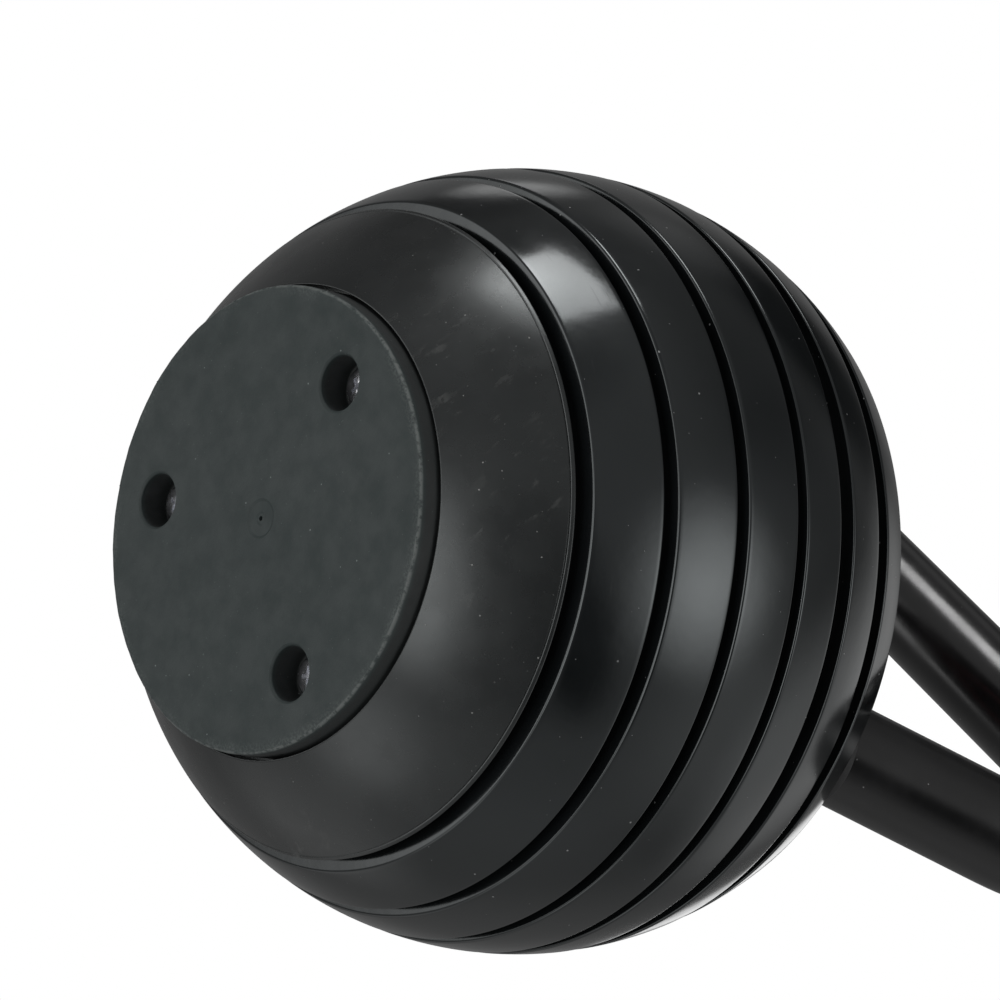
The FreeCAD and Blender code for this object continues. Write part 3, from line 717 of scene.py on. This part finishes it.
def top_cover():
    """Domed cover with a dial shelf, leg holes and four sunk screw seats."""
    count = 16
    outer = [(COVER_RIM, CARRIER_TOP, 0.2), (COVER_RIM, dome_z(COVER_RIM), 0.5)]
    radii = [COVER_RIM - 1.5 - (COVER_RIM - 1.5 - SHELF - 1.0) * i / count for i in range(count + 1)]
    outer += [(r, dome_z(r)) for r in radii]
    groove = COVER_CROWN - 0.4
    outer += [(SHELF, COVER_CROWN, 0.6), (SHELF - 0.6, groove, 0.2), (SHELF - 1.4, groove, 0.2),
              (SHELF - 2.0, COVER_CROWN, 0.4), (12.0, COVER_CROWN, 0.4),
              (12.0, COVER_CROWN - COVER_WALL, 0.2)]
    inner = [(r, dome_z(r) - COVER_WALL) for r in [SHELF] + list(reversed(radii))[1:-2]]
    inner += [(COVER_RIM - COVER_WALL, CARRIER_TOP)]
    cover = lathe("top_cover_dome", rounded(outer + inner))
    cutters = []
    for side in (1, -1):
        hole = lathe("leg_hole", [(0, -25), (TUBE_RADIUS + 1.6, -25), (TUBE_RADIUS + 1.6, 25), (0, 25)], 96)
        turn = Matrix.Rotation(side * LEG_LEAN, 4, "Y")
        hole.data.transform(Matrix.Translation(leg_point(side, COVER_CROWN - 3) * MM) @ turn)
        cutters.append(hole)
    for i in range(COVER_SCREWS):
        p = polar(SCREW_CIRCLE, 45.0 + 90.0 * i)
        seat = rounded([(0, SCREW_SEAT), (4.4, SCREW_SEAT, 0.2), (4.4, dome_z(SCREW_CIRCLE), 0.3),
                        (5.2, dome_z(SCREW_CIRCLE) + 0.8), (5.2, COVER_CROWN + 2), (0, COVER_CROWN + 2)])
        cutters.append(lathe("seat", seat, 64, (p.x, p.y)))
    cut(cover, cutters)
    return place(cover, "handle", "gloss_black_plastic", GLOSS, "top_cover")


def grommet(side):
    """Rubber collar that follows the dome where a leg goes through it."""
    axis = leg_direction(side)
    across = Vector((0.0, 1.0, 0.0))
    out = axis.cross(across)
    origin = leg_point(side, COVER_CROWN - 3)
    profile = rounded([(TUBE_RADIUS + 0.05, -2.6), (TUBE_RADIUS + 1.5, -2.6), (TUBE_RADIUS + 1.5, 0.05),
                       (TUBE_RADIUS + 4.0, 0.05, 0.5), (TUBE_RADIUS + 3.4, 1.6, 0.8),
                       (TUBE_RADIUS + 1.6, 2.2, 0.6), (TUBE_RADIUS + 1.1, 5.0, 0.6),
                       (TUBE_RADIUS + 0.05, 5.2, 0.2)], 4)
    rows = []
    for p in profile:
        row = []
        for k in range(120):
            a = 2 * math.pi * k / 120
            base = origin + (across * math.cos(a) + out * math.sin(a)) * p[0]
            along = 0.0
            for _ in range(12):        # settles each ring onto the dome
                q = base + axis * along
                along += (dome_z(math.hypot(q.x, q.y)) + p[1] - q.z) / axis.z * 0.8
            row.append(base + axis * along)
        rows.append(row)
    ring = grid_mesh("leg_collar_%s" % ("right" if side > 0 else "left"), rows)
    return place(ring, "handle", "grommet_rubber", GROMMET, "leg_grommets")


def cover_screw(index):
    """Button-head screw with a hexagon socket, sunk in the cover."""
    p = polar(SCREW_CIRCLE, 45.0 + 90.0 * index)
    z = SCREW_SEAT
    outline = rounded([(0, z + 2.2), (1.6, z + 2.2, 0.2), (3.0, z + 1.9, 1.0), (3.8, z + 0.9, 0.4),
                       (3.8, z, 0.2), (2.0, z, 0.2), (2.0, z - 8.0, 0.3), (0, z - 8.0)], 5)
    screw = lathe("cover_screw_%d" % index, outline, 72, (p.x, p.y))
    socket = lathe("socket", [(0, z + 1.0), (1.5, z + 1.0), (1.5, z + 3), (0, z + 3)], 6, (p.x, p.y))
    cut(screw, [socket])
    return place(screw, "handle", "black_screw", BLACK_STEEL, "cover_screws")


def pointer():
    """Red arrowhead on the cover that points at the dial."""
    tip = SHELF + 1.2
    top = [Vector((0, -tip, 0)), Vector((3.6, -tip - 6.6, 0)), Vector((0, -tip - 5.2, 0)),
           Vector((-3.6, -tip - 6.6, 0))]
    rows = []
    for inset, lift in ((0.0, -1.2), (0.0, 0.9), (0.35, 1.3)):
        middle = Vector((0, -tip - 4.4, 0))
        row = []
        for p in top:
            q = middle + (p - middle) * (1 - inset / 4.0)
            row.append(Vector((q.x, q.y, dome_z(math.hypot(q.x, q.y)) + lift)))
        rows.append(row)
    arrow = grid_mesh("pointer", rows, closed_rows=False)
    return place(arrow, "handle", "red_plastic", RED, "dial_pointer")


# ---- dial ----------------------------------------------------------------------------------------
DIAL_Z = low("dial_ring").z
DIAL_TOP = high("dial_knob").z
DIAL_STEP = 20.0              # degrees between settings
SETTINGS = len(PLATES) + 2
KNOB_FOOT = 31.0
SCALLOPS = 8
NUMERAL_CIRCLE = 36.1
NUMERAL_LIFT = 3.28
NUMERAL_SIZE = 6.2
RING_SLOPE = math.atan2(2.1, 8.6)


def scallop(angle, r, z):
    """Radius of the knob with its finger scallops, which fade out at the skirt and the crown."""
    if r < 20.0 or z < DIAL_Z + 4.6:
        return r
    wave = 0.5 + 0.5 * math.cos(SCALLOPS * (angle - math.radians(22.5)))
    depth = 3.0 * min(1.0, (z - DIAL_Z - 4.6) / 1.6)
    return r - depth * wave ** 1.6


def knob():
    """Knob with finger scallops and a recess for its badge."""
    outline = rounded([(0, DIAL_TOP - 1.8), (12.2, DIAL_TOP - 1.8, 0.2), (12.2, DIAL_TOP - 0.2, 0.4),
                       (20.2, DIAL_TOP - 0.1), (24.2, DIAL_TOP - 0.1, 1.2), (26.9, DIAL_TOP - 1.9, 1.0),
                       (27.6, DIAL_Z + 11.0), (28.4, DIAL_Z + 8.0), (29.0, DIAL_Z + 6.4, 0.6),
                       (29.6, DIAL_Z + 5.0, 0.4), (KNOB_FOOT, DIAL_Z + 4.4, 0.4), (KNOB_FOOT, DIAL_Z, 0.2),
                       (0, DIAL_Z)], 5)
    body = lathe("dial", outline, 320, sharp=40.0, shape=scallop)
    return place(body, "dial", "knob_plastic", KNOB, "dial_knob")


def ring():
    """Sloped ring that carries the numbers."""
    outline = rounded([(KNOB_FOOT + 0.05, DIAL_Z), (40.6, DIAL_Z, 0.3), (41.0, DIAL_Z + 0.7, 0.2),
                       (41.0, DIAL_Z + 1.6, 0.3), (40.4, DIAL_Z + 2.2, 0.3), (31.8, DIAL_Z + 4.3, 0.3),
                       (KNOB_FOOT + 0.05, DIAL_Z + 4.3, 0.2)], 4)
    return place(lathe("scale_ring", outline), "dial", "red_plastic", RED, "dial_ring")


def cap():
    """Slightly crowned badge that hides the screw of the knob."""
    top = high("dial_cap").z
    outline = rounded([(0, top), (6.0, top - 0.05), (10.2, top - 0.25, 0.8), (11.8, top - 1.0, 0.5),
                       (11.8, top - 2.5), (0, top - 2.5)], 5)
    return place(lathe("dial_badge", outline, 160), "dial", "knob_plastic", KNOB, "dial_cap")


def numeral(index):
    """One raised number on the scale ring, upright for a reader outside the ring."""
    text = bpy.data.curves.new("numeral", "FONT")
    text.body = str(index + 1)
    text.size = NUMERAL_SIZE
    text.align_x = "CENTER"
    text.align_y = "CENTER"
    text.extrude = 0.22
    text.resolution_u = 6
    holder = bpy.data.objects.new("numeral", text)
    bpy.context.scene.collection.objects.link(holder)
    bpy.context.view_layer.update()
    mesh = bpy.data.meshes.new_from_object(holder)
    bpy.data.objects.remove(holder)
    angle = -90.0 - DIAL_STEP * index
    middle = polar(NUMERAL_CIRCLE, angle, DIAL_Z + NUMERAL_LIFT)
    turn = (Matrix.Translation(middle * MM) @ Matrix.Rotation(math.radians(angle + 90.0), 4, "Z")
            @ Matrix.Rotation(RING_SLOPE, 4, "X") @ Matrix.Scale(MM, 4))
    mesh.transform(turn)
    piece = bpy.data.objects.new("numeral_%d" % (index + 1), mesh)
    bpy.context.scene.collection.objects.link(piece)
    return place(piece, "dial", "knob_plastic", INK)


# ---- the object ----------------------------------------------------------------------------------
foot()
for index, spot in enumerate(foot_hole_places()):
    foot_screw(index, spot)
base_shell()
lid("base_lid_disc", "base_lid", "base")
for number in PLATES:
    plate_shell(number)
    lid("plate_%d_lid_disc" % number, "plate_%d_lid" % number, "plate_%d" % number)
handle()
top_rim()
top_cover()
for side in (1, -1):
    grommet(side)
for index in range(COVER_SCREWS):
    cover_screw(index)
pointer()
knob()
ring()
cap()
for index in range(SETTINGS):
    numeral(index)

FINISHES = {"cast_iron_weight": IRON, "bright_steel": STEEL, "cam_steel": CAM_STEEL, "zinc_screw": ZINC,
            "black_screw": BLACK_STEEL, "bronze": BRONZE}
for part in frame["record"]["subparts"]:
    finish = FINISHES.get(part["material_slot"])
    if finish:
        node = frame["nodes"][part["node"]]
        node.data.materials.clear()
        node.data.materials.append(finish)


# ---- stage: floor, light and camera --------------------------------------------------------------
VIEW_BEARING = math.radians(-27.4)     # the camera's side of the ball, from +X towards +Y
VIEW_HEIGHT = math.radians(-42.9)      # it looks up at the foot from below
VIEW_ROLL = math.radians(100.1)
VIEW_DISTANCE = 1.148
VIEW_LENS = 154.1
VIEW_SENSOR = 36.0
VIEW_SHIFT = (-0.0045, 0.0163)         # of the camera, to its right and up
VIEW_BACK = Vector((math.cos(VIEW_HEIGHT) * math.cos(VIEW_BEARING),
                    math.cos(VIEW_HEIGHT) * math.sin(VIEW_BEARING), math.sin(VIEW_HEIGHT)))
LEVEL_RIGHT = Vector((-math.sin(VIEW_BEARING), math.cos(VIEW_BEARING), 0.0))
LEVEL_UP = VIEW_BACK.cross(LEVEL_RIGHT)
VIEW_RIGHT = LEVEL_RIGHT * math.cos(VIEW_ROLL) + LEVEL_UP * math.sin(VIEW_ROLL)
VIEW_UP = VIEW_BACK.cross(VIEW_RIGHT)
TARGET = Vector((0.0, 0.0, BODY_CENTRE_Z * MM))


def camera():
    """Long-lens camera below the floor, looking up at the foot."""
    data = bpy.data.cameras.new("camera")
    data.sensor_width = VIEW_SENSOR
    data.lens = VIEW_LENS
    data.clip_start = 0.05
    data.clip_end = 50.0
    eye = bpy.data.objects.new("camera", data)
    turn = Matrix((VIEW_RIGHT, VIEW_UP, VIEW_BACK)).transposed().to_4x4()
    stand = TARGET + VIEW_BACK * VIEW_DISTANCE + VIEW_RIGHT * VIEW_SHIFT[0] + VIEW_UP * VIEW_SHIFT[1]
    eye.matrix_world = Matrix.Translation(stand) @ turn
    bpy.context.scene.collection.objects.link(eye)
    bpy.context.scene.camera = eye


def softbox(name, direction, distance, width, height, power):
    """Area light that faces the body from a direction given as (right, up, back) of the main view."""
    data = bpy.data.lights.new(name, "AREA")
    data.shape = "RECTANGLE"
    data.size = width
    data.size_y = height
    data.energy = power
    toward = (VIEW_RIGHT * direction[0] + VIEW_UP * direction[1] + VIEW_BACK * direction[2]).normalized()
    lamp = bpy.data.objects.new(name, data)
    turn = toward.to_track_quat("Z", "Y").to_matrix().to_4x4()
    lamp.matrix_world = Matrix.Translation(TARGET + toward * distance) @ turn
    bpy.context.scene.collection.objects.link(lamp)


def radiance(level, width, height):
    """Power of an area light of a size that looks as bright as a level."""
    return level * math.pi * width * height


KEY_SIDE = (0.13, 0.985, 0.06)
KEY_DISTANCE = 4.0
KEY_WIDTH = 1.66
KEY_HEIGHT = 1.42
KEY_LEVEL = 6.6
FILL_FRONT = 0.48
FILL_BACK = 0.19
# Each line is direction (right, up, back), stretch (right, up), inner and outer spread, level.
GLOWS = [
    ((0.80, -0.10, 0.55), (1.0, 1.0), 0.00, 0.50, 3.5),       # big window on the right
    ((0.00, 1.00, 0.05), (1.0, 1.0), 0.00, 0.25, 4.5),        # halo round the key
    ((-0.50, -0.05, 0.85), (1.0, 0.55), 0.10, 0.35, 3.5),     # tall strip at the front left
    ((-0.65, -0.70, 0.35), (1.0, 1.0), 0.10, 0.40, 1.2),
    ((-0.90, 0.20, 0.30), (1.0, 1.0), 0.25, 0.60, 2.2),       # left side
    ((0.75, -0.60, 0.15), (1.0, 1.0), 0.10, 0.60, 0.3),       # lower right
    ((0.75, -0.50, -0.40), (1.0, 1.0), 0.20, 0.55, 0.6),
    ((0.35, 0.70, -0.60), (1.0, 1.0), 0.05, 0.25, 0.15),      # upper rear
    ((0.00, 0.65, -0.75), (1.0, 1.0), 0.05, 0.15, 0.9),
    ((0.20, -0.30, -0.95), (1.0, 1.0), 0.10, 0.15, 1.3),      # low rear
    ((-0.10, -0.95, -0.25), (0.8, 1.0), 0.10, 0.75, 0.15),
    ((-0.60, -0.70, -0.30), (1.0, 1.0), 0.15, 0.45, 0.35),
    ((0.70, -0.15, -0.70), (1.0, 1.0), 0.10, 0.35, 0.5),
]
# Dark things that the gloss mirrors; the last number is the share of the light that they take away.
SHADES = [
    ((0.30, -0.40, 0.85), (1.7, 0.6), 0.15, 0.40, 0.90),
    ((0.00, 0.00, 1.00), (1.0, 0.8), 0.15, 0.45, 0.50),
    ((0.00, -0.50, 0.85), (1.0, 0.9), 0.10, 0.40, 0.45),
    ((-0.15, 0.75, -0.60), (1.0, 1.0), 0.10, 0.30, 0.55),
    ((0.60, 0.45, -0.65), (1.0, 0.8), 0.15, 0.40, 0.90),
    ((0.85, 0.50, 0.05), (1.0, 1.0), 0.05, 0.55, 0.50),
    ((0.15, 0.85, 0.45), (1.0, 1.0), 0.10, 0.40, 0.40),
]


def world():
    """White to the camera; for light, a dim room with soft glows and dark shapes."""
    made = bpy.data.worlds.new("studio")
    made.use_nodes = True
    tree = made.node_tree
    tree.nodes.clear()
    coord = tree.nodes.new("ShaderNodeTexCoord")

    def vector(operation, first, second=None):
        made = tree.nodes.new("ShaderNodeVectorMath")
        made.operation = operation
        tree.links.new(first, made.inputs[0])
        if second:
            made.inputs[1].default_value = tuple(second)
        return made.outputs["Vector" if second and operation != "DOT_PRODUCT" else "Value"]

    def maths(operation, first, second):
        made = tree.nodes.new("ShaderNodeMath")
        made.operation = operation
        for i, value in enumerate((first, second)):
            if isinstance(value, (int, float)):
                made.inputs[i].default_value = value
            else:
                tree.links.new(value, made.inputs[i])
        return made.outputs["Value"]

    def step(value, start, end, low_out, high_out):
        made = tree.nodes.new("ShaderNodeMapRange")
        made.interpolation_type = "SMOOTHSTEP"
        made.inputs["From Min"].default_value = start
        made.inputs["From Max"].default_value = end
        made.inputs["To Min"].default_value = low_out
        made.inputs["To Max"].default_value = high_out
        tree.links.new(value, made.inputs["Value"])
        return made.outputs["Result"]

    join = tree.nodes.new("ShaderNodeCombineXYZ")
    sides = []
    for i, axis in enumerate((VIEW_RIGHT, VIEW_UP, VIEW_BACK)):
        sides.append(vector("DOT_PRODUCT", coord.outputs["Generated"], axis))
        tree.links.new(sides[i], join.inputs[i])

    def spread(direction, stretch):
        away = vector("SUBTRACT", join.outputs["Vector"], direction)
        return vector("LENGTH", vector("MULTIPLY", away, (*stretch, 1.0)))

    level = step(sides[2], -0.35, 0.35, FILL_BACK, FILL_FRONT)
    for direction, stretch, inner, outer, share in SHADES:
        level = maths("MULTIPLY", level, step(spread(direction, stretch), inner, outer, 1.0 - share, 1.0))
    for direction, stretch, inner, outer, strength in GLOWS:
        level = maths("ADD", level, step(spread(direction, stretch), inner, outer, strength, 0.0))
    path = tree.nodes.new("ShaderNodeLightPath")
    strength = maths("MAXIMUM", level, path.outputs["Is Camera Ray"])
    lit = tree.nodes.new("ShaderNodeBackground")
    lit.inputs["Color"].default_value = (1.0, 1.0, 1.0, 1.0)
    tree.links.new(strength, lit.inputs["Strength"])
    output = tree.nodes.new("ShaderNodeOutputWorld")
    tree.links.new(lit.outputs["Background"], output.inputs["Surface"])
    bpy.context.scene.world = made


def floor():
    """Plain pale floor at the foot's face, seen from above only and out of the light's way."""
    mesh = bpy.data.meshes.new("floor")
    size = 6.0
    corners = [(-size, -size, 0), (size, -size, 0), (size, size, 0), (-size, size, 0)]
    mesh.from_pydata(corners, [], [(0, 1, 2, 3)])
    plane = bpy.data.objects.new("floor", mesh)
    bpy.context.scene.collection.objects.link(plane)
    material = bpy.data.materials.new("floor")
    material.use_nodes = True
    tree = material.node_tree
    shader = tree.nodes["Principled BSDF"]
    shader.inputs["Base Color"].default_value = (0.8, 0.8, 0.8, 1.0)
    shader.inputs["Roughness"].default_value = 0.7
    clear = tree.nodes.new("ShaderNodeBsdfTransparent")
    side = tree.nodes.new("ShaderNodeNewGeometry")
    mix = tree.nodes.new("ShaderNodeMixShader")
    tree.links.new(side.outputs["Backfacing"], mix.inputs["Fac"])
    tree.links.new(shader.outputs["BSDF"], mix.inputs[1])
    tree.links.new(clear.outputs["BSDF"], mix.inputs[2])
    tree.links.new(mix.outputs["Shader"], tree.nodes["Material Output"].inputs["Surface"])
    mesh.materials.append(material)
    plane.visible_shadow = False
    plane.visible_diffuse = False
    plane.visible_glossy = False


camera()
world()
floor()
softbox("key", KEY_SIDE, KEY_DISTANCE, KEY_WIDTH, KEY_HEIGHT, radiance(KEY_LEVEL, KEY_WIDTH, KEY_HEIGHT))
bpy.context.scene.view_settings.view_transform = "Standard"
